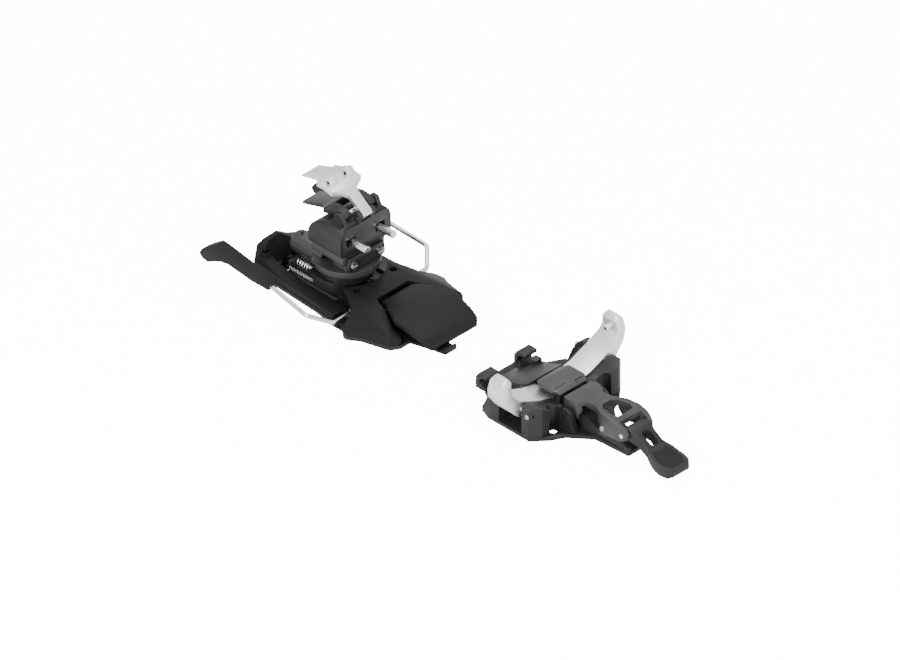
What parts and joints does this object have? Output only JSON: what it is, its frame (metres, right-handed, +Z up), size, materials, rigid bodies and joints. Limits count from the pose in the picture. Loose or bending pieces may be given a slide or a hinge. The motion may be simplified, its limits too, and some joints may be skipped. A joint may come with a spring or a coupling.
{
  "type": "ski touring binding",
  "caption": "Pin-type ski touring binding: turning heel tower with two pins, flip risers and a ski brake, and a toe unit with two swinging arms and a locking lever.",
  "frame": {"origin": "centre of the heel unit's four-screw pattern, in the plane of the ski's top face", "axes": "+X forward to the ski tip, +Y to the skier's left, +Z up from the ski"},
  "size_m": [0.419, 0.123, 0.0922],
  "materials": {
    "black_polymer": "satin",
    "black_anodised": "satin",
    "grey_anodised": "satin",
    "silver_aluminium": "satin",
    "bright_steel": "polished",
    "spring_steel": "satin",
    "grip_pad": "matte",
    "scale_marks": "matte"
  },
  "bodies": {
    "base": {"heel_base_plate": "black_anodised", "guide_rails": "black_anodised", "rear_cover": "black_polymer", "brake_housing": "black_polymer", "brake_springs": "spring_steel", "pedal_pin": "bright_steel", "toe_base": "black_anodised", "crampon_bracket": "black_anodised", "toe_cover": "grey_anodised", "arm_pivot_pins": "bright_steel", "toe_springs": "spring_steel", "frame_pin": "bright_steel"},
    "brake_lock": {"brake_lock": "black_polymer"},
    "length_screw": {"length_screw": "spring_steel"},
    "carriage": {"carriage": "black_anodised", "release_barrel": "grey_anodised", "side_release_spring": "spring_steel", "release_plunger": "bright_steel", "elastic_spring": "bright_steel", "spring_block": "black_polymer", "scale_strip": "scale_marks", "spindle": "bright_steel", "tower_ring": "grey_anodised"},
    "release_screw": {"release_screw": "spring_steel"},
    "tower": {"tower_shell": "black_anodised", "tower_neck": "grey_anodised", "front_clamp": "black_anodised", "clamp_screws": "bright_steel", "pin_pivots": "bright_steel", "pin_release_spring": "spring_steel", "pin_cam": "spring_steel", "low_riser_pin": "bright_steel", "high_riser_pin": "bright_steel"},
    "pin_release_screw": {"pin_release_screw": "spring_steel"},
    "pin_left": {"pin_block_left": "spring_steel", "heel_pin_left": "bright_steel"},
    "pin_right": {"pin_block_right": "spring_steel", "heel_pin_right": "bright_steel"},
    "low_riser": {"low_riser": "black_anodised"},
    "high_riser": {"high_riser": "silver_aluminium", "riser_screws": "spring_steel"},
    "brake_arms": {"brake_wire_right": "bright_steel", "brake_wire_left": "bright_steel", "brake_foot_right": "black_polymer", "brake_foot_left": "black_polymer", "brake_hub": "spring_steel"},
    "brake_pedal": {"brake_pedal": "black_polymer"},
    "lever_frame": {"lever_frame": "grey_anodised", "lever_pin": "bright_steel"},
    "lock_lever": {"lock_lever": "black_anodised", "lever_pad": "grip_pad"},
    "toe_arm_right": {"toe_arm_right": "silver_aluminium", "toe_pin_right": "bright_steel"},
    "toe_arm_left": {"toe_arm_left": "silver_aluminium", "toe_pin_left": "bright_steel"}
  },
  "joints": [
    {"name": "length_slide", "type": "slide", "parent": "base", "child": "carriage", "axis": [1, 0, 0], "range_m": [-0.004, 0.006]},
    {"name": "length_screw_turn", "type": "hinge", "parent": "base", "child": "length_screw", "pos_m": [-0.042, 0.006, 0.0084], "axis": [1, 0, 0], "range_deg": [-720, 1080]},
    {"name": "brake_lock_slide", "type": "slide", "parent": "base", "child": "brake_lock", "axis": [1, 0, 0], "range_m": [0, 0.008]},
    {"name": "release_screw_turn", "type": "hinge", "parent": "carriage", "child": "release_screw", "pos_m": [-0.032, -0.009, 0.0226], "axis": [1, 0, 0], "range_deg": [-1080, 1080]},
    {"name": "tower_turn", "type": "hinge", "parent": "carriage", "child": "tower", "pos_m": [0.005, 0, 0.026], "axis": [0, 0, 1], "range_deg": [-30, 90]},
    {"name": "pin_release_screw_turn", "type": "hinge", "parent": "tower", "child": "pin_release_screw", "pos_m": [-0.007, 0, 0.052], "axis": [1, 0, 0], "range_deg": [-1080, 1080]},
    {"name": "pin_open_left", "type": "hinge", "parent": "tower", "child": "pin_left", "pos_m": [0.0075, 0.0132, 0.052], "axis": [0, 0, 1], "range_deg": [0, 7], "stiffness_Nm_per_rad": 8},
    {"name": "pin_open_right", "type": "hinge", "parent": "tower", "child": "pin_right", "pos_m": [0.0075, -0.0132, 0.052], "axis": [0, 0, -1], "range_deg": [0, 7], "stiffness_Nm_per_rad": 8},
    {"name": "high_riser_flip", "type": "hinge", "parent": "tower", "child": "high_riser", "pos_m": [0.0235, 0, 0.0699], "axis": [0, 1, 0], "range_deg": [0, 150]},
    {"name": "low_riser_flip", "type": "hinge", "parent": "tower", "child": "low_riser", "pos_m": [0.0155, 0, 0.07], "axis": [0, 1, 0], "range_deg": [0, 150]},
    {"name": "brake_swing", "type": "hinge", "parent": "base", "child": "brake_arms", "pos_m": [0.038, 0, 0.0062], "axis": [0, -1, 0], "range_deg": [0, 70]},
    {"name": "brake_pedal_press", "type": "hinge", "parent": "base", "child": "brake_pedal", "pos_m": [0.056, 0, 0.009], "axis": [0, -1, 0], "range_deg": [0, 22]},
    {"name": "lever_frame_lift", "type": "hinge", "parent": "base", "child": "lever_frame", "pos_m": [0.24, 0, 0.015], "axis": [0, -1, 0], "range_deg": [0, 8]},
    {"name": "lock_lever_lift", "type": "hinge", "parent": "lever_frame", "child": "lock_lever", "pos_m": [0.291, 0, 0.019], "axis": [0, -1, 0], "range_deg": [0, 50]},
    {"name": "toe_arm_close_right", "type": "hinge", "parent": "base", "child": "toe_arm_right", "pos_m": [0.2118, -0.0415, 0.021], "axis": [-1, 0, 0], "range_deg": [0, 20]},
    {"name": "toe_arm_close_left", "type": "hinge", "parent": "base", "child": "toe_arm_left", "pos_m": [0.2118, 0.0415, 0.021], "axis": [1, 0, 0], "range_deg": [0, 20]}
  ],
  "couplings": [
    {"joint": "length_screw_turn", "follows": "length_slide", "rad_per_m": 3141.6},
    {"joint": "pin_open_right", "follows": "pin_open_left", "ratio": 1},
    {"joint": "low_riser_flip", "follows": "high_riser_flip", "ratio": 1},
    {"joint": "brake_pedal_press", "follows": "brake_swing", "ratio": 0.31},
    {"joint": "toe_arm_close_right", "follows": "lever_frame_lift", "ratio": 2.5},
    {"joint": "toe_arm_close_left", "follows": "lever_frame_lift", "ratio": 2.5}
  ]
}
